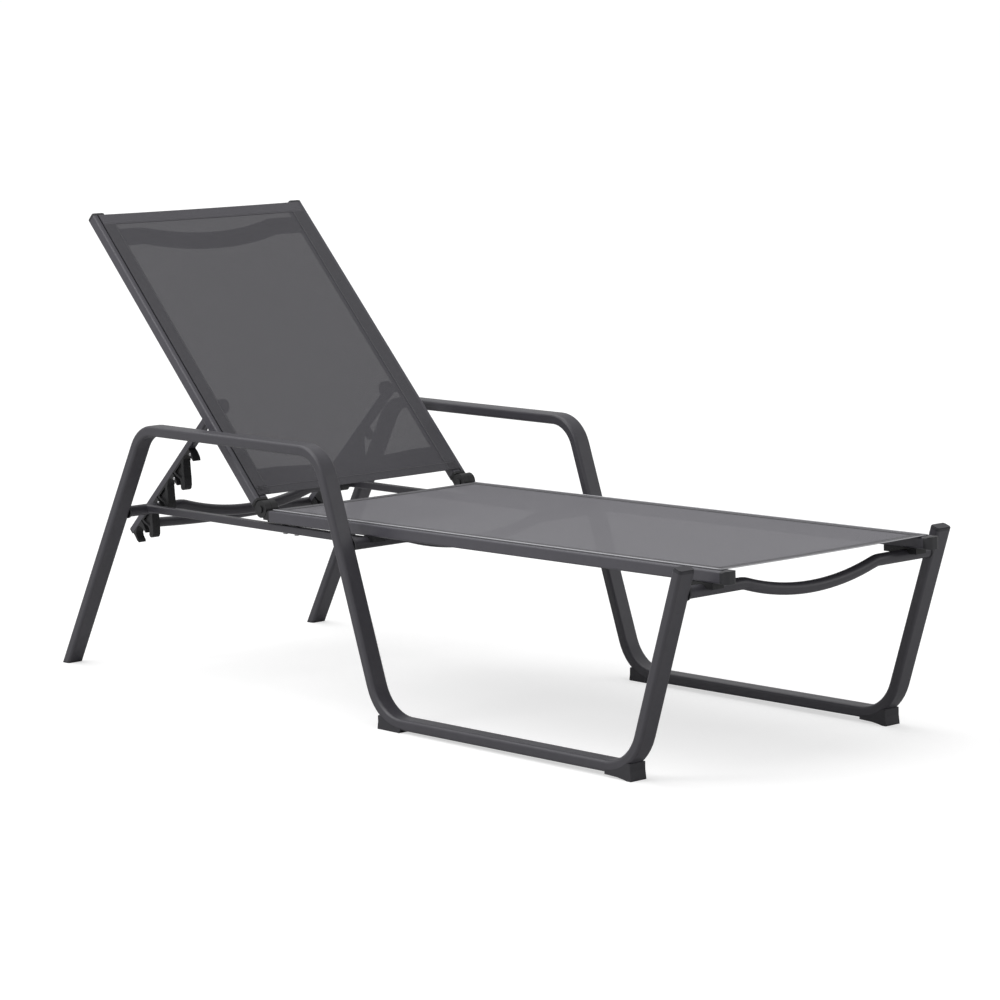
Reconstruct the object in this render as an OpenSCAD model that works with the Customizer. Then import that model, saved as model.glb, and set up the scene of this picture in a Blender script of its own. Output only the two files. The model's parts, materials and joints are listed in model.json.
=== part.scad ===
// Reclining sun lounger: two bent side frames joined by bowed crossbars, a slung
// seat on grooved rails, and a slung backrest held up by a hooked prop stay.
// The origin is on the floor, under the middle of the overall box. X is the width,
// -Y is the foot end, +Y is the head end and Z is up.

/* [Overall] */
// Width over the two side frames
frame_w = 680; // [600:1:800]
// Length from the seat rail caps to the back of the rear feet
overall_l = 1877; // [1700:1:2150]

/* [Side frame tube] */
// Width of the frame tube, across the lounger
tube_w = 37; // [30:0.5:45]
// Depth of the frame tube, in the plane of the side frame
tube_d = 21; // [16:0.5:26]
// Corner radius of the frame tube
tube_r = 6; // [3:0.5:7]
// Wall of the frame tube
tube_wall = 1.8; // [1.2:0.1:2.5]
// Centre line bend radius at the two ends of the armrest
arm_bend = 68; // [40:1:85]
// Centre line bend radius at the two ends of the floor skid
skid_bend = 90; // [60:1:105]

/* [Side frame shape] */
// Height of the armrest centre line over the rear leg
arm_z_rear = 505.4; // [440:0.1:560]
// Height of the armrest centre line over the front arm post
arm_z_front = 503.1; // [440:0.1:560]
// How far the rear leg leans, from its foot to the armrest
rear_lean = 290; // [200:1:330]
// Length of the armrest between its bend corners
arm_l = 560.8; // [480:0.1:640]
// How far the front arm post leans
post_lean = 165.9; // [120:0.1:200]
// Length of the floor skid between its bend corners
skid_l = 679.1; // [600:0.1:760]
// Height of the skid centre line at its rear corner
skid_z_rear = 15.2; // [13:0.1:24]
// Height of the skid centre line at its front corner
skid_z_front = 18.9; // [13:0.1:26]
// How far the foot post leans over its full height
foot_post_lean = 122.7; // [80:0.1:160]
// Height of the foot post centre line at its corner point
foot_post_z = 378.4; // [340:0.1:420]

/* [Caps and feet] */
// Thickness of the plastic cap on the foot post
cap_t = 6; // [3:0.5:10]
// Thickness of the floor pad of the rear foot plug
plug_t = 3.5; // [2:0.5:8]
// How deep plugs and caps reach into a tube
plug_in = 22; // [10:1:35]
// Length of the wedge foot under a skid bend
toe_l = 64; // [40:1:90]
// Rise of the wedge foot's underside towards its thin end
toe_rise = 5; // [2:0.5:7]
// How far the outer edge of a wedge foot flares out at the floor
toe_flare = 2; // [0:0.5:5]
// Flat land under the front wedge foot that stands on the floor
toe_land = 8; // [5:1:20]
// Length of the saddles under the seat rails at the foot crossbar
saddle_l = 78; // [40:1:90]
// Depth of the saddles
saddle_h = 11; // [6:0.5:14]

/* [Crossbars] */
// Diameter of the three bowed crossbars of the frame
bar_d = 22; // [18:0.5:28]
// Wall of the crossbars
bar_wall = 1.5; // [1:0.1:2.5]
// How far the middle of a crossbar is bowed down
bow_sag = 26; // [10:1:34]
// Half length of the bowed part of a crossbar
bow_half = 175; // [140:1:195]
// Bend radius where the bow begins
bow_bend = 60; // [40:1:90]
// Height of the rear crossbar, which catches the prop stay
rear_bar_z = 328.5; // [300:0.5:350]
// How far the catch crossbar stands in front of the rear leg's centre line
catch_fwd = 3; // [0:0.5:6]
// Height of the middle crossbar
mid_bar_z = 330.5; // [305:0.5:352]
// Height of the foot crossbar
foot_bar_z = 335; // [310:0.5:356]

/* [Grooved rail] */
// Width over the seat rails and over the back rails
rails_w = 538; // [460:1:600]
// Width of one grooved rail
rail_w = 30; // [24:0.5:36]
// Height of one grooved rail
rail_h = 22.5; // [20:0.5:28]
// Outer corner radius of the grooved rail
rail_r = 4; // [2:0.5:6]
// Wall of the grooved rail
rail_wall = 1.8; // [1.2:0.1:2.4]
// Distance from the rail's outer side to the middle of its groove
groove_x = 11; // [9.5:0.5:20]
// Diameter of the round channel below the groove
groove_d = 8.4; // [6:0.1:10]
// Width of the groove's slot
slot_w = 3; // [2:0.1:4]

/* [Seat and hinge] */
// Distance from the back of the rear feet to the hinge axis
hinge_back = 600.9; // [540:0.1:660]
// Height of the hinge axis
hinge_z = 365; // [345:0.5:385]
// How far the top of the rails lies below the hinge axis when the seat is level
hinge_drop = 1.5; // [0:0.5:4]
// Rise of the seat towards the foot end, in degrees
seat_rise = 0.4; // [0:0.1:1]
// Gap between the hinge axis and the end of each rail
rail_gap = 25; // [22:0.5:32]
// Radius of the hinge ears
ear_r = 17; // [12:0.5:19]
// Diameter of the hinge pins
pin_d = 8; // [6:0.5:10]
// Length of the rounded end caps at the foot of the seat rails
end_cap_t = 15; // [14:1:40]
// Thickness of the top caps of the back rails
top_cap_t = 7; // [4:0.5:12]

/* [Backrest] */
// Angle of the backrest over the floor in the pictured position
back_angle = 46.25; // [40:0.25:52]
// Length of the backrest from the hinge axis to the top of its caps
back_l = 773; // [680:1:830]
// How far the back rails' front face stands in front of the hinge axis
back_fwd = 3.5; // [1:0.5:5]
// In-plane width of the flat oval bars across the backrest
back_bar_w = 40; // [30:1:46]
// Thickness of the flat oval bars across the backrest
back_bar_t = 18; // [14:0.5:20]
// Distance of the upper bar's ends from the hinge axis
upper_bar_s = 713; // [640:1:720]
// Distance of the lower bar's ends from the hinge axis
lower_bar_s = 79; // [70:1:110]
// How far the upper bar is bowed towards the hinge
back_bow = 25; // [8:1:30]
// How far the lower bar is bowed towards the hinge
lower_bow = 8; // [4:1:12]

/* [Slings] */
// Thickness of the sling fabric's block
sling_t = 2; // [1.5:0.1:4]
// Gap between a sling and the rail below it
sling_gap = 0.5; // [0.3:0.1:1]
// Diameter of the spline rods that hold a sling's hems in the grooves
spline_d = 6.4; // [5:0.1:8]

/* [Prop stay] */
// Distance of the stay's pivot from the hinge axis, along the backrest
pivot_s = 264; // [230:1:300]
// Depth of the stay's pivot behind the hinge line of the backrest
pivot_in = 12; // [9:0.5:14]
// Inner distance between the two stay arms
stay_w = 434; // [380:1:440]
// Width of a stay arm
arm_w = 18; // [14:0.5:22]
// Thickness of a stay arm
arm_t = 12; // [10:0.5:15]
// Diameter of the stay's bottom bar
stay_bar_d = 20; // [14:0.5:22]
// Distance from the catch bar to the stay's bottom bar, along the arm
stay_bar_u = 82; // [76:1:110]
// How far an arm runs past the catch bar
arm_tail = 99; // [90:1:130]
// How far an arm runs past its pivot
arm_head = 12; // [9:0.5:20]
// Diameter of the pivot bolts
bolt_d = 8; // [6:0.5:9]
// Distance between two catch notches
notch_pitch = 78.5; // [74:0.5:90]
// Thickness of a catch block under its notch
notch_web = 1.5; // [1:0.1:4]
// How far the stay's bottom bar is bowed down
stay_bow = 8; // [4:1:10]

/* [Fits] */
// Radial clearance of the running pins
run_gap = 0.06; // [0.02:0.01:0.1]
// Clearance of plugs, caps and blocks that are pushed together
slip = 0.2; // [0.1:0.05:0.4]
// Side clearance between pieces that turn past each other
side_gap = 0.5; // [0.3:0.1:1]
// Clearance round the catch bar in its notch
notch_gap = 0.3; // [0.1:0.1:0.8]

/* [Hidden] */
$fn = 64;
dark = [0.30, 0.30, 0.315];
cloth = [0.36, 0.36, 0.37];
plastic = [0.10, 0.10, 0.11];
steel = [0.62, 0.62, 0.64];
fx = frame_w / 2;                       // outer face of a side frame
fi = fx - tube_w;                       // inner face of a side frame
leg_a = atan2(arm_z_rear, rear_lean);
foot_y = overall_l / 2 - tube_d / 2 / sin(leg_a);
hinge_y = overall_l / 2 - hinge_back;
q0 = [foot_y, 0];
q1 = [foot_y - rear_lean, arm_z_rear];
q2 = [q1.x - arm_l, arm_z_front];
q3 = [q2.x - post_lean, skid_z_rear];
q4 = [q3.x - skid_l, skid_z_front];
post_a = atan2(foot_post_z - skid_z_front, foot_post_lean);
q5 = [q4.x - foot_post_lean, foot_post_z] - 3.5 * [-cos(post_a), sin(post_a)];
rear_bar_y = q0.x - rear_lean * rear_bar_z / arm_z_rear - catch_fwd;
mid_bar_y = q2.x - post_lean * (arm_z_front - mid_bar_z) / (arm_z_front - skid_z_rear);
foot_bar_y = q4.x - foot_post_lean * (foot_bar_z - skid_z_front) / (foot_post_z - skid_z_front);
rx = rails_w / 2;                       // outer side of the rails
gx = rx - groove_x;                     // middle of the grooves
seat_l = (hinge_y + overall_l / 2 - (rail_h + hinge_drop) * sin(seat_rise)) / cos(seat_rise) - end_cap_t;
pv = [pivot_s, -pivot_in];              // stay pivot in backrest coordinates
pv_y = hinge_y + pv.x * cos(back_angle) - pv.y * sin(back_angle);
pv_z = hinge_z + pv.x * sin(back_angle) + pv.y * cos(back_angle);
notch_r = bar_d / 2 + notch_gap;
mid_off = notch_r + notch_web + slip / 2 + arm_t / 2; // notch centre from the arm's middle
catch_d = norm([rear_bar_y - pv_y, rear_bar_z - pv_z]);
notch_u = sqrt(catch_d ^ 2 - mid_off ^ 2);
stay_a = atan2(rear_bar_z - pv_z, rear_bar_y - pv_y) + asin(mid_off / catch_d);
arm_x = stay_w / 2;                     // inner side of a stay arm
str_w = 15;                             // width of a stretcher
str_h = 15;                             // height of a stretcher
str_x = rx - 7 - str_w;                 // inner side of a stretcher
str_z = (rear_bar_z + mid_bar_z) / 2 - str_h / 2 + 1.2;
screw_y = [hinge_y - 58, hinge_y - 93]; // rail screws
screw_x = str_x + str_w / 2;

// ---------- shared outlines and sweeps ----------

// Straight lengths of a bent tube are this much larger all round than its bends, and reach
// this far into them.
$swell = 0;
seam = 0.04;
lap = 0.8;

// A rounded rectangle about the origin.
module rrect(w0, h0, r0) {
  w = w0 + 2 * $swell;
  h = h0 + 2 * $swell;
  r = r0 + $swell;
  square([w - 2 * r, h], center = true);
  square([w, h - 2 * r], center = true);
  for (x = [-1, 1], y = [-1, 1])
    translate([x * (w / 2 - r), y * (h / 2 - r)]) circle(r, $fn = 32);
}

// A round outline of diameter d.
module round_bar(d) { circle(d = d + 2 * $swell, $fn = 48); }

// A flat oval (two half circles and two flats), long along x.
module oval(w0, h0) {
  w = w0 + 2 * $swell;
  h = h0 + 2 * $swell;
  square([w - h, h], center = true);
  for (x = [-1, 1]) translate([x * (w - h) / 2, 0]) circle(h / 2, $fn = 48);
}

function unit(v) = v / norm(v);
function turn(p, i) = let (a = unit(p[i] - p[i - 1]), b = unit(p[i + 1] - p[i]))
  acos(min(1, max(-1, a * b)));
function tan_len(p, r, i) = (i <= 0 || i >= len(p) - 1) ? 0 : r[i - 1] * tan(turn(p, i) / 2);

// Sweeps the outline child along the bent path p in the plane of local x and y, with
// bend radii r. The outline's x lies in the path's plane, its y along local z.
module bent_path(p, r, lead = 0) {
  n = len(p) - 1;
  for (i = [0:n - 1]) {
    $swell = seam;
    d = unit(p[i + 1] - p[i]);
    a = p[i] + d * (i == 0 ? -lead : tan_len(p, r, i) - lap);
    b = p[i + 1] - d * (i == n - 1 ? -lead : tan_len(p, r, i + 1) - lap);
    translate([a.x, a.y, 0])
      rotate([0, 0, atan2(d.y, d.x)])
        rotate([90, 0, 90])
          linear_extrude(norm(b - a)) children();
  }
  for (i = [1:n - 1]) {
    a = unit(p[i] - p[i - 1]);
    b = unit(p[i + 1] - p[i]);
    s = sign(a.x * b.y - a.y * b.x);
    nrm = s * [-a.y, a.x];
    c = p[i] - a * tan_len(p, r, i) + nrm * r[i - 1];
    st = atan2(-nrm.y, -nrm.x);
    translate([c.x, c.y, 0])
      rotate([0, 0, s > 0 ? st : st - turn(p, i)])
        rotate_extrude(angle = turn(p, i), $fn = r[i - 1] > 300 ? 240 : 96)
          translate([r[i - 1], 0]) children();
  }
}

// Puts a y-z plane drawing at x, with its thickness running along +x.
module in_side(x) { translate([x, 0, 0]) rotate([90, 0, 90]) children(); }

// The near piece is drawn at -x; the far one is its mirror image.
module far() { mirror([1, 0, 0]) children(); }

// ---------- side frames ----------

frame_path = [q0, q1, q2, q3, q4, q5];
frame_bends = [arm_bend, arm_bend, skid_bend, skid_bend];

module frame_tube(grow, lead) {
  in_side(-fx + tube_w / 2)
    bent_path(frame_path, frame_bends, lead)
      rrect(tube_d + 2 * grow, tube_w + 2 * grow, tube_r + grow);
}

// One side frame: rear leg, armrest, arm post, skid and foot post in one bent tube.
module side_frame() {
  color(dark) difference() {
    frame_tube(0, 0);
    frame_tube(-tube_wall, 20);
    translate([-fx - 1, foot_y - 100, -100]) cube([tube_w + 2, 200, 100 + plug_t]);
  }
}

module post_frame() {
  translate([-fx + tube_w / 2, q5.x, q5.y]) rotate([90 - post_a, 0, 0]) children();
}

// Plastic cap on the foot post, with a plug that fits the tube.
module post_cap() {
  color(plastic) post_frame() {
    linear_extrude(cap_t - 1.5) rrect(tube_w, tube_d, tube_r);
    translate([0, 0, cap_t - 1.5]) linear_extrude(1.5) rrect(tube_w - 3, tube_d - 3, tube_r - 1.5);
    translate([0, 0, -plug_in]) linear_extrude(plug_in + 0.5)
      rrect(tube_w - 2 * (tube_wall + slip), tube_d - 2 * (tube_wall + slip), tube_r - tube_wall);
  }
}

// Plastic plug in the rear leg, cut flat on the floor.
module foot_plug() {
  g = tube_wall + slip;
  color(plastic) difference() {
    union() {
      intersection() {
        frame_tube(0, 20);
        translate([-fx - 5, foot_y - 100, 0]) cube([tube_w + 10, 200, plug_t]);
      }
      in_side(-fx + tube_w / 2) translate([foot_y, 0]) rotate([0, 0, 180 - leg_a])
        rotate([90, 0, 90]) translate([0, 0, 1]) linear_extrude(plug_in + 8)
          rrect(tube_d - 2 * g, tube_w - 2 * g, tube_r - tube_wall);
    }
    translate([-fx - 5, foot_y - 100, -60]) cube([tube_w + 10, 200, 60]);
  }
}

// Wedge foot clipped under a skid bend. It stands on its outer edge, which flares out a
// little, and thins towards its inner end.
module toe(y_out, dir, z_top, land) {
  color(plastic) difference() {
    in_side(-fx) linear_extrude(tube_w) polygon([
      [y_out - dir * toe_flare, 0],
      [y_out - dir * toe_flare, 2.5],
      [y_out, z_top * 0.55],
      [y_out, z_top],
      [y_out + dir * toe_l, z_top],
      [y_out + dir * toe_l, toe_rise],
      [y_out + dir * (land + 0.45 * (toe_l - land)), toe_rise * 0.8],
      [y_out + dir * (land + 0.15 * (toe_l - land)), toe_rise * 0.35],
      [y_out + dir * land, 0]]);
    frame_tube(slip / 2, 0);
    in_side(-fx - 1) linear_extrude(tube_w + 2) polygon([
      [y_out + dir * toe_l, skid_mid(y_out + dir * toe_l)],
      [y_out + dir * (toe_l + 9), skid_mid(y_out + dir * (toe_l + 9))],
      [y_out + dir * (toe_l + 9), 300],
      [y_out - dir * 9, 300],
      [y_out - dir * 9, z_top + 12],
      [y_out + dir * 1, z_top + 2]]);
  }
}
function skid_mid(y) = q3.y + (q4.y - q3.y) * (q3.x - y) / skid_l;

// Height at which a bend's outer side crosses the end face of its wedge foot.
function bend_z(z0, inset) = z0 + skid_bend - sqrt((skid_bend + tube_d / 2) ^ 2 - inset ^ 2);

module toe_front() {
  toe(q4.x - 1, 1, bend_z(q4.y, tan_len(frame_path, frame_bends, 4) + 1) - 1, toe_land);
}
module toe_rear() {
  toe(q3.x - 2, -1, bend_z(q3.y, tan_len(frame_path, frame_bends, 3) - 2) - 1, toe_l - 4);
}

// ---------- crossbars and stretchers ----------

// Path and radii of a bowed bar: straight ends, a small bend at each end of the bow and one
// long arc between them, all tangent.
function bow_turn(sag) = 2 * atan(sag / bow_half);
function bow_corner(sag) = bow_half - bow_bend * tan(bow_turn(sag) / 2);
function bow_path(half, sag) = [[-half, 0], [-bow_corner(sag), 0],
  [0, -bow_corner(sag) * tan(bow_turn(sag))], [bow_corner(sag), 0], [half, 0]];
function bow_radii(sag) = [bow_bend - 4, bow_half / sin(bow_turn(sag)) - bow_bend - 4, bow_bend - 4];

// A bowed crossbar between the side frames, its ends shaped to the frame tube's face.
module crossbar(y, z, half) {
  color(dark) translate([0, y, z]) rotate([90, 0, 0]) difference() {
    bent_path(bow_path(half, bow_sag), bow_radii(bow_sag)) round_bar(bar_d);
    bent_path(bow_path(half, bow_sag), bow_radii(bow_sag), 1) round_bar(bar_d - 2 * bar_wall);
  }
}

module crossbar_foot() { crossbar(foot_bar_y, foot_bar_z, fi); }
module crossbar_mid() { crossbar(mid_bar_y, mid_bar_z, fi); }
module crossbar_rear() { crossbar(rear_bar_y, rear_bar_z, fi); }

// Rectangular tube between the middle and the rear crossbar, below the seat rail.
module stretcher() {
  color(dark) difference() {
    translate([-str_x - str_w / 2, mid_bar_y, str_z + str_h / 2]) rotate([-90, 0, 0])
      linear_extrude(rear_bar_y - mid_bar_y) difference() {
        rrect(str_w, str_h, 3);
        rrect(str_w - 3, str_h - 3, 1.5);
      }
    for (b = [[mid_bar_y, mid_bar_z], [rear_bar_y, rear_bar_z]])
      translate([-str_x - str_w - 1, b.x, b.y]) rotate([0, 90, 0]) cylinder(d = bar_d, h = str_w + 2);
    for (y = screw_y) translate([-screw_x, y, str_z - 1]) cylinder(d = 5 + 2 * slip, h = str_h + 2);
  }
}

// ---------- grooved rails ----------

// Outline of the grooved rail: outer side at x = 0, top at y = 0, inner side at x = rail_w.
module rail_outline() {
  difference() {
    translate([rail_w / 2, -rail_h / 2]) rrect(rail_w, rail_h, rail_r);
    translate([groove_x, -rail_wall - groove_d / 2]) circle(groove_d / 2);
    translate([groove_x - slot_w / 2, -rail_wall - groove_d / 2])
      square([slot_w, rail_wall + groove_d / 2 + 1]);
    translate([rail_wall, -rail_h + rail_wall]) square([rail_w - 2 * rail_wall, cav_h]);
  }
}

// Solid outline of the same rail, for what fits over its end.
module rail_block() { translate([rail_w / 2, -rail_h / 2]) rrect(rail_w, rail_h, rail_r); }

// The seat's frame: x across, y measured along the rails from the hinge axis towards the
// foot, z from the rails' top.
module in_seat() {
  translate([0, hinge_y, hinge_z]) rotate([-seat_rise, 0, 0]) translate([0, 0, -hinge_drop])
    mirror([0, 1, 0]) children();
}

// The backrest's frame: y is measured along the rails from the hinge axis, z from the
// rails' front face.
module in_back() {
  translate([0, hinge_y, hinge_z]) rotate([back_angle, 0, 0]) translate([0, 0, back_fwd]) children();
}

// Sweeps a rail outline for a near rail from y0 to y1 in the frame above.
module along(y0, y1) {
  translate([-rx, y1, 0]) rotate([90, 0, 0]) linear_extrude(y1 - y0) children();
}

module seat_rail() {
  color(dark) difference() {
    in_seat() along(rail_gap, seat_l) rail_outline();
    for (y = screw_y) translate([-screw_x, y, str_z]) cylinder(d = 5 + 2 * slip, h = 24);
  }
}

cav_h = rail_h - 3 * rail_wall - groove_d;
cap_r = 11;                             // plan radius of the seat rails' end caps

// A tongue that fills a rail's hollow, for plugs and end caps.
module rail_tongue(y0, y1) {
  translate([-rx + rail_wall + slip, y0, -rail_h + rail_wall + slip])
    cube([rail_w - 2 * rail_wall - 2 * slip, y1 - y0, cav_h - 2 * slip]);
}

// Rounded end cap at the foot end of a seat rail.
module seat_cap() {
  color(dark) in_seat() {
    intersection() {
      along(seat_l, seat_l + end_cap_t) rail_block();
      union() {
        translate([-rx + cap_r, seat_l + end_cap_t - cap_r, -rail_h - 1])
          cube([rail_w - 2 * cap_r, cap_r, rail_h + 2]);
        translate([-rx, seat_l - 1, -rail_h - 1]) cube([rail_w, end_cap_t - cap_r + 1, rail_h + 2]);
        for (x = [-rx + cap_r, -rx + rail_w - cap_r])
          translate([x, seat_l + end_cap_t - cap_r, -rail_h - 1]) cylinder(r = cap_r, h = rail_h + 2);
      }
    }
    rail_tongue(seat_l - 18, seat_l + 0.5);
  }
}

ear_t = rail_w / 2 - side_gap / 2;

// Hinge fitting of the seat rail: a plug, a neck and the outer ear.
module seat_ear() {
  color(plastic) difference() {
    union() {
      in_seat() {
        along(rail_gap - 5, rail_gap) rail_block();
        rail_tongue(rail_gap - 0.5, rail_gap + 24);
      }
      translate([-rx, hinge_y, hinge_z]) rotate([0, 90, 0]) cylinder(r = ear_r, h = ear_t);
      in_seat() translate([-rx + 0.7, 6, -rail_h + 4]) cube([ear_t - 1.4, rail_gap - 8, rail_h - 6.5]);
    }
    translate([-rx - 1, hinge_y, hinge_z]) rotate([0, 90, 0])
      cylinder(d = pin_d + 2 * run_gap, h = rail_w + 2);
  }
}

// Hinge fitting of the back rail: a plug, a neck and the inner ear.
module back_ear() {
  color(plastic) difference() {
    union() {
      in_back() {
        along(rail_gap - 5, rail_gap) rail_block();
        rail_tongue(rail_gap - 0.5, rail_gap + 24);
      }
      translate([-rx + ear_t + side_gap, hinge_y, hinge_z]) rotate([0, 90, 0])
        cylinder(r = ear_r, h = ear_t);
      in_back() translate([-rx + ear_t + side_gap + 0.7, 6, -rail_h + 3.5])
        cube([ear_t - 1.4, rail_gap - 8, rail_h - 6.5]);
    }
    translate([-rx - 1, hinge_y, hinge_z]) rotate([0, 90, 0])
      cylinder(d = pin_d + 2 * run_gap, h = rail_w + 2);
  }
}

// Steel hinge pin with a flat head outside and a clip head inside.
module hinge_pin() {
  color(steel) translate([-rx, hinge_y, hinge_z]) rotate([0, 90, 0]) {
    translate([0, 0, -3]) cylinder(d = pin_d, h = rail_w + 6);
    translate([0, 0, -3]) cylinder(d = pin_d + 6, h = 2.8);
    translate([0, 0, rail_w + 0.2]) cylinder(d = pin_d + 6, h = 2.8);
  }
}

// Spline rod inside the hem of a sling, in the rail's round channel.
module spline(y0, y1) {
  translate([-gx, y1, -rail_wall - groove_d / 2]) rotate([90, 0, 0])
    cylinder(d = spline_d, h = y1 - y0);
}

module seat_spline() { color(plastic) in_seat() spline(rail_gap + 4, seat_l - 4); }
module back_spline() { color(plastic) in_back() spline(rail_gap + 4, back_l - top_cap_t - 4); }

// The slings: stretched sheets just above the rails, from groove to groove.
module sling(y0, y1) {
  translate([-gx - 1, y0, sling_gap]) cube([2 * gx + 2, y1 - y0, sling_t]);
}

module seat_sling() { color(cloth) in_seat() sling(rail_gap + 2, seat_l - 3); }
module back_sling() { color(cloth) in_back() sling(rail_gap + 6, back_l - top_cap_t); }

// ---------- saddles, spacers and screws ----------

// Saddle between a crossbar and the rail above it, from y0 to y1. It is hollowed out to sit
// on the crossbar.
module saddle(y, z, y0, y1) {
  color(plastic) difference() {
    in_seat() translate([-rx + 2, hinge_y - y1, -rail_h - saddle_h]) cube([rail_w - 4, y1 - y0, saddle_h]);
    translate([-rx, y, z]) rotate([0, 90, 0]) cylinder(d = bar_d + slip, h = rail_w);
  }
}

module saddle_foot() { saddle(foot_bar_y, foot_bar_z, foot_bar_y - saddle_l + 50, foot_bar_y + 50); }
module saddle_mid() { saddle(mid_bar_y, mid_bar_z, mid_bar_y - 24, mid_bar_y + 7.5); }

// Four spacer washers between the stretchers and the seat rails.
module rail_spacers() {
  color(plastic) for (x = [-screw_x, screw_x], y = screw_y) difference() {
    translate([x, y, str_z + str_h + slip / 2]) cylinder(d = 13, h = 12);
    in_seat() translate([-rx - 5, -200, -rail_h - slip / 2]) cube([rails_w + 10, 1600, 200]);
    translate([x, y, 0]) cylinder(d = 5 + 2 * slip, h = 400);
  }
}

// Four screws up through stretcher, spacer and rail floor.
module rail_screws() {
  color(steel) for (x = [-screw_x, screw_x], y = screw_y) translate([x, y, str_z]) {
    translate([0, 0, -2.6 - slip / 2]) cylinder(d = 9, h = 2.6);
    translate([0, 0, -1]) cylinder(d = 5, h = str_h + 10);
  }
}

// ---------- backrest ----------

module back_rail() {
  color(dark) difference() {
    in_back() along(rail_gap, back_l - top_cap_t) rail_outline();
    translate([-rx + rail_w / 2, pv_y, pv_z]) rotate([0, 90, 0])
      cylinder(d = bolt_d + 2 * run_gap, h = rail_w);
  }
}

// Top cap of a back rail.
module back_cap() {
  color(plastic) in_back() {
    translate([0, 0, 0]) along(back_l - top_cap_t, back_l - 2) rail_block();
    translate([1.5, 0, 0]) along(back_l - 2, back_l) translate([0, -1.5])
      translate([(rail_w - 3) / 2, -(rail_h - 3) / 2]) rrect(rail_w - 3, rail_h - 3, rail_r - 1);
    rail_tongue(back_l - top_cap_t - 18, back_l - top_cap_t + 0.5);
  }
}

// A flat oval bar across the backrest, bowed towards the hinge.
module back_bar(s, bow) {
  half = rx - rail_w;
  color(dark) in_back() translate([0, s, -rail_h + 2.5 + back_bar_t / 2]) difference() {
    bent_path(bow_path(half, bow), bow_radii(bow))
      oval(back_bar_w, back_bar_t);
    bent_path(bow_path(half, bow), bow_radii(bow), 1)
      oval(back_bar_w - 2 * bar_wall, back_bar_t - 2 * bar_wall);
  }
}

module back_bar_upper() { back_bar(upper_bar_s, back_bow); }
module back_bar_lower() { back_bar(lower_bar_s, lower_bow); }

// Pivot bolt of the stay: its shank runs in the arm, its end is fixed in the rail.
module pivot_bolt() {
  color(steel) translate([0, pv_y, pv_z]) rotate([0, 90, 0]) {
    translate([0, 0, -rx + rail_w - rail_wall - 6]) cylinder(d = bolt_d, h = rx - rail_w + rail_wall + 6 - arm_x + 1);
    translate([0, 0, -rx + rail_w + 0.2]) cylinder(d = 20, h = rx - rail_w - arm_x - arm_w - 0.2 - side_gap);
    translate([0, 0, -arm_x + side_gap]) cylinder(d = 30, h = 12);
  }
}

// ---------- prop stay ----------

// The stay's frame: x is measured down the arm from its pivot, y from the arm's middle to its
// front, z along world x.
module in_stay() {
  translate([0, pv_y, pv_z]) rotate([stay_a, 0, 0]) mirror([0, 0, 1]) rotate([90, 0, 90]) children();
}

// Grooved arm of the stay.
module stay_arm() {
  l = notch_u + arm_tail;
  color(dark) in_stay() translate([0, 0, -arm_x - arm_w]) difference() {
    union() {
      translate([0, -arm_t / 2, 0]) cube([l, arm_t, arm_w]);
      cylinder(d = arm_t, h = arm_w);
      translate([-arm_head + arm_t / 2, -arm_t / 2, 0]) cube([arm_head, arm_t, arm_w]);
      translate([-arm_head + arm_t / 2, 0, 0]) cylinder(d = arm_t, h = arm_w);
    }
    translate([18, -arm_t / 2 + 1.5, 1.5]) cube([l, arm_t - 3, arm_w - 3]);
    translate([14, arm_t / 2 - 1, 3]) cube([l, 2, 2.5]);
    translate([0, 0, -1]) cylinder(d = bolt_d + 2 * run_gap, h = arm_w + 2);
  }
}

// End plug at the bottom of a stay arm.
module stay_plug() {
  l = notch_u + arm_tail;
  color(plastic) in_stay() translate([0, 0, -arm_x - arm_w]) {
    translate([l, -arm_t / 2, 0]) cube([3, arm_t, arm_w]);
    translate([l - 12, -arm_t / 2 + 1.5 + slip, 1.5 + slip])
      cube([12.5, arm_t - 3 - 2 * slip, arm_w - 3 - 2 * slip]);
  }
}

// Bottom bar of the stay, between the two arms.
module stay_bar() {
  color(dark) in_stay() translate([notch_u + stay_bar_u, 0, 0]) rotate([0, 90, 0]) rotate([90, 0, 0])
    mirror([0, 1, 0]) difference() {
      bent_path(bow_path(arm_x, stay_bow), bow_radii(stay_bow)) round_bar(stay_bar_d);
      bent_path(bow_path(arm_x, stay_bow), bow_radii(stay_bow), 1) round_bar(stay_bar_d - 2 * bar_wall);
    }
}

// Outline of one catch block: the head above the notch, the seat and the guide tongue below.
// The notch's middle is at x = 0 and the arm's front face is y = 0. The last block on the arm
// has only a short hook in place of the tongue.
module catch_outline(last) {
  r = notch_r;
  w = notch_web;
  difference() {
    polygon(concat([
      [-r - 9, 0],
      [-r - 10, w + 9],
      [-r - 8, w + 21],
      [-r - 4.5, w + 27],
      [-r - 3.2, w + 26],
      [-r - 1, w + r],
      [0, w + r - 1],
      [r + 0.5, w + 5]],
      last ? [[r + 4, w + 12], [r + 5, w + 22], [r + 8, w + 25], [r + 9.5, w + 18], [r + 8.5, w + 8],
        [r + 8.5, 0]]
      : [[r + 9, w + 15.5],
      [r + 24, w + 34.5],
      [r + 32, w + 43],
      [r + 38, w + 46.5],
      [r + 43, w + 46],
      [r + 46.5, w + 42],
      [r + 45.5, w + 37],
      [r + 37, w + 29],
      [r + 36, w + 21],
      [r + 40.5, w + 12],
      [r + 43, w + 5],
      [r + 43, 0]]));
    translate([0, w + r]) circle(r);
  }
}

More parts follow.
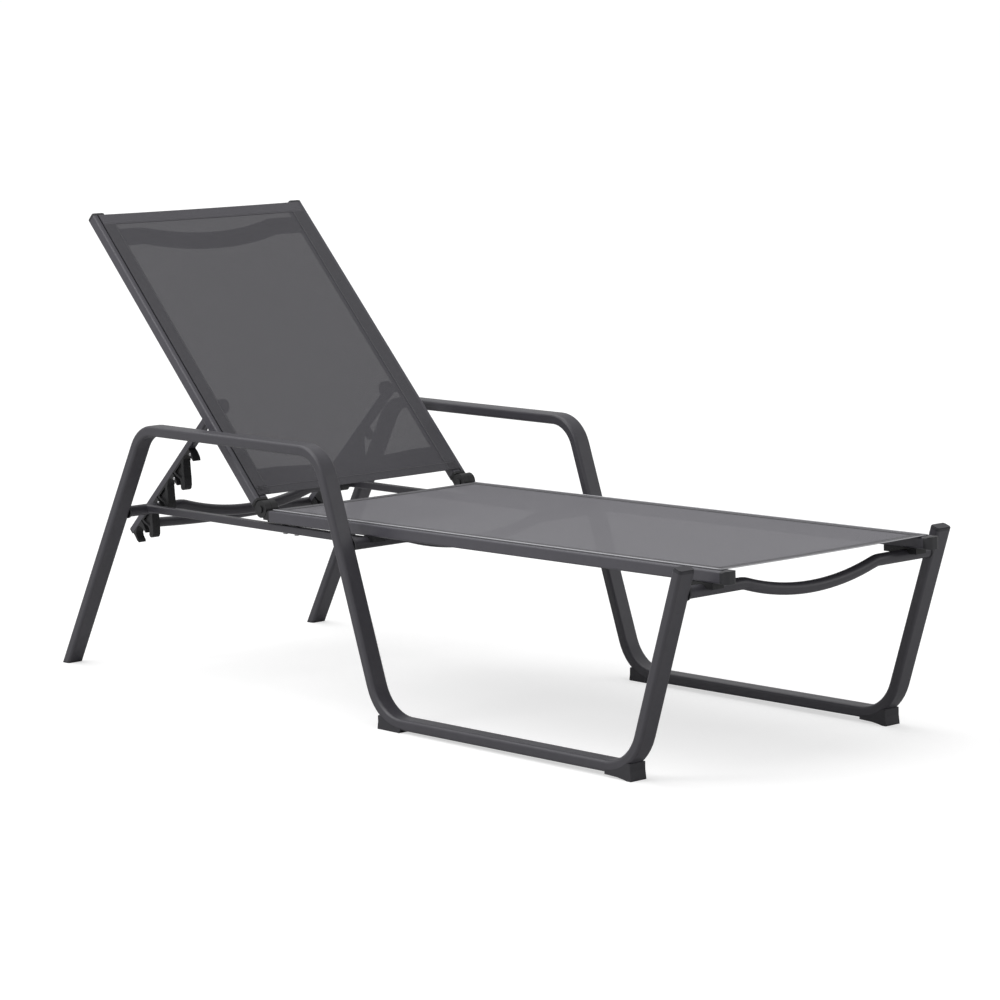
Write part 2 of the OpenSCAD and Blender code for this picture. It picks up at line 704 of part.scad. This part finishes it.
// One moulded catch block. k counts the notches from the catch bar's own one.
module catch_block(k, last = false) {
  u = notch_u + k * notch_pitch;
  color(plastic) in_stay() translate([u, arm_t / 2 + slip / 2, -arm_x - arm_w]) difference() {
    linear_extrude(arm_w) catch_outline(last);
    if (!last) translate([0, 0, -1]) linear_extrude(5)
      polygon([[notch_r + 9, 4], [notch_r + 30, 29], [notch_r + 37, 11], [notch_r + 38, 4]]);
  }
}

// ---------- parts ----------

side_frame();  // side_frame_near
far() side_frame();  // side_frame_far
post_cap();  // post_cap_near
far() post_cap();  // post_cap_far
foot_plug();  // foot_plug_near
far() foot_plug();  // foot_plug_far
toe_front();  // toe_front_near
far() toe_front();  // toe_front_far
toe_rear();  // toe_rear_near
far() toe_rear();  // toe_rear_far
crossbar_foot();
crossbar_mid();
crossbar_rear();
stretcher();  // stretcher_near
far() stretcher();  // stretcher_far
saddle_foot();  // saddle_foot_near
far() saddle_foot();  // saddle_foot_far
saddle_mid();  // saddle_mid_near
far() saddle_mid();  // saddle_mid_far
rail_spacers();
rail_screws();
seat_rail();  // seat_rail_near
far() seat_rail();  // seat_rail_far
seat_cap();  // seat_cap_near
far() seat_cap();  // seat_cap_far
seat_ear();  // seat_ear_near
far() seat_ear();  // seat_ear_far
seat_spline();  // seat_spline_near
far() seat_spline();  // seat_spline_far
seat_sling();
hinge_pin();  // hinge_pin_near
far() hinge_pin();  // hinge_pin_far
back_rail();  // back_rail_near
far() back_rail();  // back_rail_far
back_cap();  // back_cap_near
far() back_cap();  // back_cap_far
back_ear();  // back_ear_near
far() back_ear();  // back_ear_far
back_bar_upper();
back_bar_lower();
back_spline();  // back_spline_near
far() back_spline();  // back_spline_far
back_sling();
pivot_bolt();  // pivot_bolt_near
far() pivot_bolt();  // pivot_bolt_far
stay_arm();  // stay_arm_near
far() stay_arm();  // stay_arm_far
stay_bar();
stay_plug();  // stay_plug_near
far() stay_plug();  // stay_plug_far
catch_block(-2);  // catch_near_1
catch_block(-1);  // catch_near_2
catch_block(0);  // catch_near_3
catch_block(1, true);  // catch_near_4
far() catch_block(-2);  // catch_far_1
far() catch_block(-1);  // catch_far_2
far() catch_block(0);  // catch_far_3
far() catch_block(1, true);  // catch_far_4
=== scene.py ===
import json
import math

import bmesh
import bpy
from mathutils import Matrix, Vector


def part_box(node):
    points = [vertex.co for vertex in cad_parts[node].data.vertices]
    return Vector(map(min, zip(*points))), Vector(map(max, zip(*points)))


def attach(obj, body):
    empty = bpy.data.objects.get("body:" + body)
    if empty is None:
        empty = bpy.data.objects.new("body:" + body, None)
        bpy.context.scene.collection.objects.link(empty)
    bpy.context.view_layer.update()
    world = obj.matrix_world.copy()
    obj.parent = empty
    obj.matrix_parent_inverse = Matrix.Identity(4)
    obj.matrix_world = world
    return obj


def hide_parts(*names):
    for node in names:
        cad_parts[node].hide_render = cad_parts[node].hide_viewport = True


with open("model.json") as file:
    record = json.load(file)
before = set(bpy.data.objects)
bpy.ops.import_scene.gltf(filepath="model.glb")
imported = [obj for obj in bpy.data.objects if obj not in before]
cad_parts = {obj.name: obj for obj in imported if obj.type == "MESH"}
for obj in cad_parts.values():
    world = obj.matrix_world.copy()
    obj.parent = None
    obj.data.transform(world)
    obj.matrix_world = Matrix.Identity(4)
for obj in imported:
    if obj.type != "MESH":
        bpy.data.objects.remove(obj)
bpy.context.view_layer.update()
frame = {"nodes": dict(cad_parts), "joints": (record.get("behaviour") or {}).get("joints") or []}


# The viewpoint: a long lens standing off the near foot corner, about chest high, with a
# slight roll.
camera = bpy.data.objects.new("camera", bpy.data.cameras.new("camera"))
bpy.context.collection.objects.link(camera)
camera.data.lens = 128.0
camera.data.sensor_width = 36
camera.data.clip_end = 60
turn = math.radians(41.2069)
drop = math.radians(7.7961)
roll = math.radians(-1.3461)
ahead = Vector((math.sin(turn) * math.cos(drop), math.cos(turn) * math.cos(drop), -math.sin(drop)))
level = Vector((math.cos(turn), -math.sin(turn), 0))
rise = level.cross(ahead)
across = level * math.cos(roll) + rise * math.sin(roll)
upward = rise * math.cos(roll) - level * math.sin(roll)
camera.matrix_world = Matrix.Translation((-4.42749, -5.11799, 1.30924)) @ Matrix(
    (across, upward, -ahead)).transposed().to_4x4()
bpy.context.scene.camera = camera
bpy.context.scene.view_settings.view_transform = "Standard"


# The finishes: a Look is one Principled shader and the small procedural textures that feed it,
# and a Wire is one output of a node, so that shader sums are written as sums.
class Wire:
    """One output of a shader node, so that sums on it are written as sums."""

    def __init__(self, look, socket):
        self.look, self.socket = look, socket

    def sum(self, operation, a, b=0.0):
        return self.look.node("ShaderNodeMath", {"operation": operation}, {0: a, 1: b})

    def __add__(self, b): return self.sum("ADD", self, b)
    def __radd__(self, b): return self.sum("ADD", b, self)
    def __sub__(self, b): return self.sum("SUBTRACT", self, b)
    def __rsub__(self, b): return self.sum("SUBTRACT", b, self)
    def __mul__(self, b): return self.sum("MULTIPLY", self, b)
    def __rmul__(self, b): return self.sum("MULTIPLY", b, self)
    def __truediv__(self, b): return self.sum("DIVIDE", self, b)
    def __pow__(self, b): return self.sum("POWER", self, b)
    def __gt__(self, b): return self.sum("GREATER_THAN", self, b)
    def __lt__(self, b): return self.sum("LESS_THAN", self, b)


class Look:
    """A finish: a Principled shader and the nodes that feed it."""

    def __init__(self, name, **constants):
        self.material = bpy.data.materials.new(name)
        self.material.use_nodes = True
        self.tree = self.material.node_tree
        self.shader = self.tree.nodes["Principled BSDF"]
        for socket, value in constants.items():
            self.shader.inputs[socket.replace("_", " ")].default_value = value

    def node(self, kind, settings, values, out=0):
        made = self.tree.nodes.new(kind)
        for key, value in settings.items():
            if key == "stops":
                ramp = made.color_ramp
                while len(ramp.elements) < len(value):
                    ramp.elements.new(0.5)
                for element, (place, colour) in zip(ramp.elements, value):
                    element.position, element.color = place, (*colour, 1)
            else:
                setattr(made, key, value)
        for key, value in values.items():
            if isinstance(value, Wire):
                self.tree.links.new(value.socket, made.inputs[key])
            elif hasattr(value, "__len__") and made.inputs[key].type == "RGBA":
                made.inputs[key].default_value = (*value, 1)
            else:
                made.inputs[key].default_value = value
        return Wire(self, made.outputs[out])

    def place(self, stretch=(1, 1, 1)):
        where = self.node("ShaderNodeTexCoord", {}, {}, "Object")
        return self.node("ShaderNodeMapping", {}, {"Vector": where, "Scale": stretch})

    def noise(self, scale, detail=2.0, rough=0.5, stretch=(1, 1, 1)):
        return self.node("ShaderNodeTexNoise", {}, {
            "Vector": self.place(stretch), "Scale": scale, "Detail": detail, "Roughness": rough})

    def blend(self, factor, dark, light):
        return self.node("ShaderNodeMix", {"data_type": "RGBA"}, {0: factor, 6: dark, 7: light}, 2)

    def bump(self, height, depth, strength=1.0, after=None):
        values = {"Height": height, "Distance": depth, "Strength": strength}
        if after:
            values["Normal"] = after
        return self.node("ShaderNodeBump", {}, values)

    def feed(self, socket, wire):
        self.tree.links.new(wire.socket, self.shader.inputs[socket])

    def put_on(self, *things):
        for thing in things:
            piece = frame["nodes"][thing] if isinstance(thing, str) else thing
            piece.data.materials.clear()
            piece.data.materials.append(self.material)


def settle(name, shape, look, body, crease=None):
    """Make a finished shape into a piece: smooth, in its finish, riding on its body."""
    made = bpy.data.objects.new(name, bpy.data.meshes.new(name))
    shape.to_mesh(made.data)
    shape.free()
    made.data.shade_smooth()
    if crease:
        made.data.set_sharp_from_angle(angle=crease)
    bpy.context.collection.objects.link(made)
    look.put_on(made)
    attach(made, body)
    return made


# The studio: a seamless pale floor, which glows a little to the camera so that shadows on it
# stay faint, and three large soft lights over it.
studio = bpy.data.worlds.new("studio")
bpy.context.scene.world = studio
studio.use_nodes = True
sky = studio.node_tree.nodes["Background"]
sky.inputs["Color"].default_value = (1, 1, 1, 1)
seen = studio.node_tree.nodes.new("ShaderNodeLightPath")
dim = studio.node_tree.nodes.new("ShaderNodeMapRange")
dim.inputs["To Min"].default_value, dim.inputs["To Max"].default_value = 0.55, 1.02
studio.node_tree.links.new(seen.outputs["Is Camera Ray"], dim.inputs["Value"])
studio.node_tree.links.new(dim.outputs["Result"], sky.inputs["Strength"])
ground = bmesh.new()
bmesh.ops.create_grid(ground, x_segments=8, y_segments=8, size=30)
floor = bpy.data.objects.new("studio_floor", bpy.data.meshes.new("studio_floor"))
ground.to_mesh(floor.data)
ground.free()
bpy.context.collection.objects.link(floor)
paper = Look("white_paper", Roughness=0.9, Specular_IOR_Level=0.1)
paper.feed("Base Color", paper.blend(paper.noise(3.0), (0.50, 0.50, 0.50), (0.53, 0.53, 0.53)))
glow = paper.node("ShaderNodeLightPath", {}, {})
paper.feed("Emission Color", paper.blend(glow, (0, 0, 0), (0.58, 0.58, 0.58)))
paper.shader.inputs["Emission Strength"].default_value = 1.0
paper.put_on(floor)


def softbox(name, at, aim, size, power):
    """A square studio light that faces the point it is aimed at."""
    light = bpy.data.lights.new(name, "AREA")
    light.shape, light.size, light.energy = "SQUARE", size, power
    lamp = bpy.data.objects.new(name, light)
    bpy.context.collection.objects.link(lamp)
    lamp.location = at
    lamp.rotation_euler = (Vector(aim) - Vector(at)).to_track_quat("-Z", "Y").to_euler()


softbox("strip_light", (-3.0, 1.0, 2.4), (0, 0, 0.35), 1.4, 34)
softbox("fill_light", (2.6, -3.4, 1.8), (0, 0, 0.35), 1.2, 10)
overhead = bpy.data.objects.new("overhead_light", bpy.data.lights.new("overhead_light", "SUN"))
overhead.data.energy, overhead.data.angle = 1.65, math.radians(70)
overhead.rotation_euler = Vector((0.15, -0.32, -1)).to_track_quat("-Z", "Y").to_euler()
bpy.context.collection.objects.link(overhead)


# The two side frames: flattened aluminium tube, bent in four places and powder coated dark
# grey. The coat has the fine orange peel and slight mottling of a baked finish.
def powder_coat(name, dark, light, roughness):
    """Baked powder coat: an even fine texture, faintly mottled, a little rubbed in places."""
    coat = Look(name, Metallic=0.0, Specular_IOR_Level=0.5)
    mottle = coat.noise(55.0, 3.0)
    peel = coat.noise(1500.0, 2.0, 0.6)
    rub = coat.noise(9.0, 4.0, 0.7)
    coat.feed("Base Color", coat.blend(mottle * 0.6 + peel * 0.4, dark, light))
    coat.feed("Roughness", roughness + (rub - 0.5) * 0.16 + (peel - 0.5) * 0.12)
    coat.feed("Normal", coat.bump(peel + mottle * 0.5, 0.00012, 0.55))
    return coat


frame_coat = powder_coat("frame_powder_coat", (0.0440, 0.0423, 0.0498), (0.0620, 0.0598, 0.0704), 0.42)
frame_coat.put_on("side_frame_near", "side_frame_far")


# Plastic feet and caps: moulded black nylon with a fine spark-eroded grain, pushed into the
# tube ends and clipped under the skid's bends.
def moulded(name, dark, light, roughness, grain=2600.0):
    """Moulded nylon: a fine matt grain and faint flow marks."""
    nylon = Look(name, Specular_IOR_Level=0.4)
    fine = nylon.noise(grain, 1.0)
    flow = nylon.noise(40.0, 3.0, 0.6, (1, 1, 3))
    nylon.feed("Base Color", nylon.blend(flow * 0.7 + fine * 0.3, dark, light))
    nylon.feed("Roughness", roughness + (flow - 0.5) * 0.14)
    nylon.feed("Normal", nylon.bump(fine, 0.00008, 0.5))
    return nylon


foot_nylon = moulded("foot_nylon", (0.0285, 0.0278, 0.0325), (0.0425, 0.0415, 0.0482), 0.5)
for side in ("near", "far"):
    foot_nylon.put_on(f"foot_plug_{side}", f"toe_front_{side}", f"toe_rear_{side}", f"post_cap_{side}")


# Crossbars, stretchers and the bars of the backrest: drawn round and oval tube, welded in and
# coated with the frames.
bar_coat = powder_coat("bar_powder_coat", (0.0395, 0.0380, 0.0449), (0.0560, 0.0540, 0.0637), 0.40)
bar_coat.put_on("crossbar_foot", "crossbar_mid", "crossbar_rear", "stretcher_near", "stretcher_far",
    "back_bar_upper", "back_bar_lower", "stay_bar")


# Weld beads: a small rippled fillet round each crossbar where it meets a side frame, under the
# same coat as the tubes.
bead_radius, bead_size, bar_radius = 0.0118, 0.0018, 0.011
bead_ripple, ripples = 0.16, 20
bead_coat = powder_coat("bead_powder_coat", (0.033, 0.033, 0.037), (0.050, 0.050, 0.055), 0.48)
quarter = math.radians(90)
for bar in ("crossbar_foot", "crossbar_mid", "crossbar_rear"):
    low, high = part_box(bar)
    middle = ((low[1] + high[1]) / 2, high[2] - bar_radius)
    for side, x in (("near", low[0]), ("far", high[0])):
        shape = bmesh.new()
        ring = bmesh.ops.create_circle(shape, segments=8, radius=bead_size)["verts"]
        bmesh.ops.rotate(shape, verts=ring, cent=(0, 0, 0), matrix=Matrix.Rotation(quarter, 3, "X"))
        bmesh.ops.translate(shape, verts=ring, vec=(bead_radius, 0, 0))
        bmesh.ops.spin(shape, geom=shape.edges[:], cent=(0, 0, 0), axis=(0, 0, 1), dvec=(0, 0, 0),
            angle=math.tau, steps=60, use_merge=True)
        for v in shape.verts:
            around = math.atan2(v.co.y, v.co.x)
            out = Vector((v.co.x, v.co.y, 0)).normalized() * bead_radius
            v.co = out + (v.co - out) * (1 + bead_ripple * math.sin(around * ripples))
        bmesh.ops.rotate(shape, verts=shape.verts[:], cent=(0, 0, 0),
            matrix=Matrix.Rotation(quarter, 3, "Y"))
        bmesh.ops.translate(shape, verts=shape.verts[:], vec=(x, *middle))
        bmesh.ops.recalc_face_normals(shape, faces=shape.faces[:])
        settle(f"weld_{bar}_{side}", shape, bead_coat, "frame")


# Saddles and spacers: black nylon blocks between the crossbars and the seat rails, which keep
# the coats from rubbing.
black_nylon = moulded("black_nylon", (0.012, 0.012, 0.013), (0.022, 0.022, 0.024), 0.46)
black_nylon.put_on("saddle_foot_near", "saddle_foot_far", "saddle_mid_near", "saddle_mid_far",
    "rail_spacers")


# Rail screws: zinc plated, driven up through the stretchers and spacers into the seat rails.
zinc = Look("zinc_plate", Metallic=1.0)
brush = zinc.noise(700.0, 3.0, 0.6, (1, 6, 6))
zinc.feed("Base Color", zinc.blend(brush, (0.36, 0.36, 0.37), (0.55, 0.55, 0.56)))
zinc.feed("Roughness", 0.3 + brush * 0.2)
zinc.feed("Normal", zinc.bump(brush, 0.00005, 0.4))
zinc.put_on("rail_screws")


# Hinge pins and pivot bolts: blackened steel, through the paired ears and through the rails
# and the stay's arms.
black_steel = Look("blackened_steel", Metallic=0.6)
smear = black_steel.noise(500.0, 3.0, 0.6)
black_steel.feed("Base Color", black_steel.blend(smear, (0.030, 0.030, 0.032), (0.055, 0.055, 0.058)))
black_steel.feed("Roughness", 0.36 + smear * 0.16)
black_steel.feed("Normal", black_steel.bump(smear, 0.00005, 0.4))
black_steel.put_on("hinge_pin_near", "hinge_pin_far", "pivot_bolt_near", "pivot_bolt_far")


# Seat rails, back rails and stay arms: extruded aluminium with a spline groove, coated like
# the frame but a shade lighter. Nylon caps close the ends and nylon ears plug in at the hinge.
rail_coat = powder_coat("rail_powder_coat", (0.0590, 0.0568, 0.0672), (0.0800, 0.0772, 0.0912), 0.36)
cap_nylon = moulded("cap_nylon", (0.024, 0.024, 0.027), (0.038, 0.038, 0.042), 0.44)
for side in ("near", "far"):
    rail_coat.put_on(f"seat_rail_{side}", f"back_rail_{side}", f"stay_arm_{side}")
    cap_nylon.put_on(f"seat_cap_{side}", f"back_cap_{side}")
    black_nylon.put_on(f"seat_ear_{side}", f"back_ear_{side}", f"stay_plug_{side}",
        f"seat_spline_{side}", f"back_spline_{side}", *[f"catch_{side}_{k}" for k in (1, 2, 3, 4)])


# Catch rivets: a bright steel rivet through each catch block's head and the arm behind it,
# seen as a small dome on both faces of the block.
dome, dome_height, head_back, head_in = 0.003, 0.0012, 0.0165, 0.001
rivet_steel = Look("rivet_steel", Metallic=1.0)
polish = rivet_steel.noise(900.0, 3.0, 0.6)
rivet_steel.feed("Base Color", rivet_steel.blend(polish, (0.50, 0.50, 0.51), (0.72, 0.72, 0.73)))
rivet_steel.feed("Roughness", 0.22 + polish * 0.16)
rivet_steel.feed("Normal", rivet_steel.bump(polish, 0.00005, 0.3))
bar_low, bar_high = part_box("crossbar_rear")
notch = Vector((0, (bar_low[1] + bar_high[1]) / 2, bar_high[2] - bar_radius))
for side in ("near", "far"):
    first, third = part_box(f"catch_{side}_1"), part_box(f"catch_{side}_3")
    pitch = (Vector(third[0]) + Vector(third[1]) - Vector(first[0]) - Vector(first[1])) / 4
    down = pitch.normalized()
    outward = Vector((0, -down.z, down.y))
    if outward.y > 0:
        outward.negate()
    for k in (1, 2, 3):
        head = notch + pitch * (k - 3) - down * head_back - outward * head_in
        shape = bmesh.new()
        for face in (first[0][0], first[1][0]):
            bmesh.ops.create_uvsphere(shape, u_segments=20, v_segments=10, radius=1,
                matrix=Matrix.Translation((face, head.y, head.z))
                @ Matrix.Diagonal((dome_height, dome, dome, 1)))
        settle(f"catch_rivet_{side}_{k}", shape, rivet_steel, "stay")


# The slings: one layer of coated polyester yarn in an open basket weave, hemmed at both
# ends and drawn tight between the rails by a spline rod in each long hem.
hinge = Vector(frame["joints"][0]["pos_m"])
groove = 0.258                   # from the middle to the groove's mouth
thread = 0.0013                  # from one yarn to the next
hem_thick = 0.0012
hem_wide, side_hem, back_side_hem, top_hem = 0.022, 0.018, 0.030, 0.026
hem_crease = math.radians(40)
back_lean = math.radians(46.25)
seat_tilt = math.radians(-0.4)
rail_top = {"seat": -0.0015, "back": 0.0035}


def woven(name, dark, light, solid, deep=0.0):
    """Open basket weave: crossing yarns, with a small gap at each corner between them."""
    weave = Look(name, Roughness=0.62, Specular_IOR_Level=0.35, Sheen_Weight=0.25, Sheen_Roughness=0.45)
    across = weave.node("ShaderNodeUVMap", {"uv_map": "cloth"}, {})
    u = weave.node("ShaderNodeSeparateXYZ", {}, {0: across})
    v = Wire(weave, u.socket.node.outputs[1])
    warp = u.sum("ABSOLUTE", u.sum("SINE", u * (math.pi / thread)))
    weft = v.sum("ABSOLUTE", v.sum("SINE", v * (math.pi / thread)))
    over = u.sum("SINE", (u + v) * (math.pi / thread)) * 0.5 + 0.5
    yarn = warp * over + weft * (1 - over)
    cloud = weave.noise(16.0, 4.0, 0.6)
    slub = weave.noise(220.0, 2.0, 0.5)
    shade = yarn * 0.5 + cloud * 0.25 + slub * 0.25
    weave.feed("Base Color", weave.blend(shade, dark, light))
    weave.feed("Normal", weave.bump(yarn, 0.00035, 0.6))
    if solid < 1:
        gap = (1 - warp) * (1 - weft)
        hole = weave.node("ShaderNodeMapRange", {}, {0: gap, 1: 0.25, 2: 0.6, 3: 0.0, 4: 1.0})
        weave.feed("Alpha", solid - hole * deep)
    return weave


def to_place(shape, seat):
    """From a rail's plane (x across, y from the hinge along the rail, z out of its top face)."""
    bmesh.ops.translate(shape, verts=shape.verts[:], vec=(0, 0, rail_top["seat" if seat else "back"]))
    if seat:
        bmesh.ops.scale(shape, verts=shape.verts[:], vec=(1, -1, 1))
        bmesh.ops.reverse_faces(shape, faces=shape.faces[:])
    bmesh.ops.rotate(shape, verts=shape.verts[:], cent=(0, 0, 0),
        matrix=Matrix.Rotation(seat_tilt if seat else back_lean, 3, "X"))
    bmesh.ops.translate(shape, verts=shape.verts[:], vec=hinge)


def cloth(sizes, cuts, lift, seat, thick=0.0):
    """A panel in a rail's own plane that follows lift(x, y): a sheet, or a hem if it is thick."""
    (x0, x1), (y0, y1) = sizes
    shape = bmesh.new()
    bmesh.ops.create_grid(shape, x_segments=cuts[0], y_segments=cuts[1], size=0.5)
    flat = shape.loops.layers.uv.new("cloth")
    for v in shape.verts:
        v.co = Vector((x0 + (v.co.x + 0.5) * (x1 - x0), y0 + (v.co.y + 0.5) * (y1 - y0), 0))
    for face in shape.faces:
        for loop in face.loops:
            loop[flat].uv = (loop.vert.co.x, loop.vert.co.y)
    for v in shape.verts:
        v.co.z = lift(v.co.x, v.co.y) - thick / 2
    if thick:
        bmesh.ops.solidify(shape, geom=shape.faces[:], thickness=-thick)
        bmesh.ops.recalc_face_normals(shape, faces=shape.faces[:])
    to_place(shape, seat)
    return shape


def stitch_rows(rows, lift, seat, pitch=0.0042):
    """Rows of lockstitch: short rounded threads set end to end along each row."""
    shape = bmesh.new()
    for (x0, y0), (x1, y1) in rows:
        run = Vector((x1 - x0, y1 - y0, 0))
        for k in range(int(run.length / pitch)):
            at = Vector((x0, y0, 0)) + run * ((k + 0.5) * pitch / run.length)
            at.z = lift(at.x, at.y) + 0.0008
            turned = Matrix.Translation(at) @ Matrix.Rotation(math.atan2(run.y, run.x), 4, "Z")
            bmesh.ops.create_icosphere(shape, subdivisions=1, radius=1,
                matrix=turned @ Matrix.Diagonal((pitch * 0.42, 0.00045, 0.00035, 1)))
    to_place(shape, seat)
    return shape


# Seat sling: stretched between the seat rails so tight that it sinks only a few millimetres,
# with a folded hem all round.
seat_head, seat_foot = 0.0266, 1.2545
seat_sink, seat_end_share = 0.0040, 0.35
cloth_above = 0.0012


def seat_lift(x, y):
    along = (y - seat_head) / (seat_foot - seat_head)
    inside = max(0.0, 1 - (x / groove) ** 2)
    bow = seat_end_share + (1 - seat_end_share) * math.sin(math.pi * min(1, max(0, along)))
    return cloth_above - seat_sink * inside * bow


seat_weave = woven("seat_weave", (0.0540, 0.0515, 0.0622), (0.1010, 0.0965, 0.1160), 0.99, 0.06)
seat_cloth = settle("seat_cloth", cloth(((-groove, groove), (seat_head, seat_foot)), (60, 120),
    seat_lift, True), seat_weave, "frame")
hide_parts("seat_sling")
hem_weave = woven("hem_weave", (0.0285, 0.0274, 0.0330), (0.0515, 0.0495, 0.0595), 1)
hem_end = groove - 0.001
for name, sizes, cuts in (
        ("seat_hem_head", ((-hem_end, hem_end), (seat_head, seat_head + hem_wide)), (60, 4)),
        ("seat_hem_foot", ((-hem_end, hem_end), (seat_foot - hem_wide, seat_foot)), (60, 4)),
        ("seat_hem_near", ((-groove, -groove + side_hem), (seat_head, seat_foot)), (4, 120)),
        ("seat_hem_far", ((groove - side_hem, groove), (seat_head, seat_foot)), (4, 120))):
    settle(name, cloth(sizes, cuts, seat_lift, True, hem_thick),
        hem_weave, "frame", hem_crease)


# Stitching of the seat's hems: grey bonded polyester thread in one row along each hem.
yarn = Look("sewing_yarn", Roughness=0.55, Specular_IOR_Level=0.4)
ply = yarn.noise(2600.0, 1.0, 0.5, (1, 3, 1))
yarn.feed("Base Color", yarn.blend(ply, (0.13, 0.13, 0.14), (0.22, 0.22, 0.23)))
yarn.feed("Normal", yarn.bump(ply, 0.0001, 0.6))
row_end, row_in = groove - 0.004, 0.004
seat_row = groove - 0.0155
seat_stitches = settle("seat_stitches", stitch_rows([
    ((-row_end, seat_head + hem_wide - row_in), (row_end, seat_head + hem_wide - row_in)),
    ((-row_end, seat_foot - hem_wide + row_in), (row_end, seat_foot - hem_wide + row_in)),
    ((-seat_row, seat_head + 0.003), (-seat_row, seat_foot - 0.003)),
    ((seat_row, seat_head + 0.003), (seat_row, seat_foot - 0.003))], seat_lift, True),
    yarn, "frame")


# Edges of the seat: a thin round bead down both grooves and over the foot end, coloured pale
# as a painted highlight along the cloth's rolled edges.
edge_highlight = Look("edge_painted_highlight", Roughness=0.35, Specular_IOR_Level=0.5)
highlight_speckle = edge_highlight.noise(900.0, 3.0, 0.6)
# The pale base colour here is a painted highlight, not a colour of the cloth.
edge_highlight.feed("Base Color", edge_highlight.blend(highlight_speckle, (0.30, 0.30, 0.32), (0.52, 0.52, 0.54)))
edge_highlight.feed("Normal", edge_highlight.bump(highlight_speckle, 0.0001, 0.5))
lip, steps, corners = groove + 0.0004, 80, 10
for name, (x0, y0), (x1, y1), r in (
        ("seat_edge_highlight_near", (-lip, seat_head), (-lip, seat_foot), 0.0013),
        ("seat_edge_highlight_far", (lip, seat_head), (lip, seat_foot), 0.0013),
        ("seat_edge_highlight_foot", (-groove, seat_foot), (groove, seat_foot), 0.0009)):
    shape = bmesh.new()
    run = Vector((x1 - x0, y1 - y0, 0))
    rings = []
    for k in range(steps + 1):
        at = Vector((x0, y0, 0)) + run * (k / steps)
        at.z = seat_lift(at.x, at.y) + 0.0002
        turned = Matrix.Translation(at) @ Matrix.Rotation(math.atan2(run.y, run.x), 4, "Z")
        rings.append(bmesh.ops.create_circle(shape, segments=corners, radius=r,
            cap_ends=k in (0, steps), matrix=turned @ Matrix.Rotation(quarter, 4, "Y"))["verts"])
    for a, b in zip(rings, rings[1:]):
        for k in range(corners):
            shape.faces.new((a[k], a[(k + 1) % corners], b[(k + 1) % corners], b[k]))
    bmesh.ops.recalc_face_normals(shape, faces=shape.faces[:])
    to_place(shape, True)
    settle(name, shape, edge_highlight, "frame")


# Back sling: the same cloth between the back rails, slightly more open to the light, with wider
# side hems and a paler hem at the top.
back_low, back_top = 0.030, 0.7655
back_sink, back_end_share = 0.0050, 0.3


def back_lift(x, y):
    along = (y - back_low) / (back_top - back_low)
    inside = max(0.0, 1 - (x / groove) ** 2)
    bow = back_end_share + (1 - back_end_share) * math.sin(math.pi * min(1, max(0, along)))
    return cloth_above - back_sink * inside * bow


back_weave = woven("back_weave", (0.0290, 0.0278, 0.0335), (0.0620, 0.0594, 0.0715), 0.98, 0.13)
back_cloth = settle("back_cloth", cloth(((-groove, groove), (back_low, back_top)), (60, 80),
    back_lift, False), back_weave, "backrest")
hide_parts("back_sling")
top_weave = woven("top_hem_weave", (0.0480, 0.0463, 0.0545), (0.0860, 0.0830, 0.0970), 1)
back_side = (back_low, back_top - top_hem)
for name, look, sizes, cuts in (
        ("back_hem_low", hem_weave, ((-hem_end, hem_end), (back_low, back_low + hem_wide)), (60, 4)),
        ("back_hem_top", top_weave, ((-hem_end, hem_end), (back_top - top_hem, back_top)), (60, 4)),
        ("back_hem_near", hem_weave, ((-groove, -groove + back_side_hem), back_side), (6, 80)),
        ("back_hem_far", hem_weave, ((groove - back_side_hem, groove), back_side), (6, 80))):
    settle(name, cloth(sizes, cuts, back_lift, False, hem_thick),
        look, "backrest", hem_crease)


# Stitching of the back's hems: the same thread, one row along each hem.
back_row = groove - 0.0275
back_stitches = settle("back_stitches", stitch_rows([
    ((-row_end, back_low + hem_wide - row_in), (row_end, back_low + hem_wide - row_in)),
    ((-row_end, back_top - top_hem + row_in), (row_end, back_top - top_hem + row_in)),
    ((-back_row, back_low + 0.003), (-back_row, back_top - 0.030)),
    ((back_row, back_low + 0.003), (back_row, back_top - 0.030))], back_lift, False),
    yarn, "backrest")
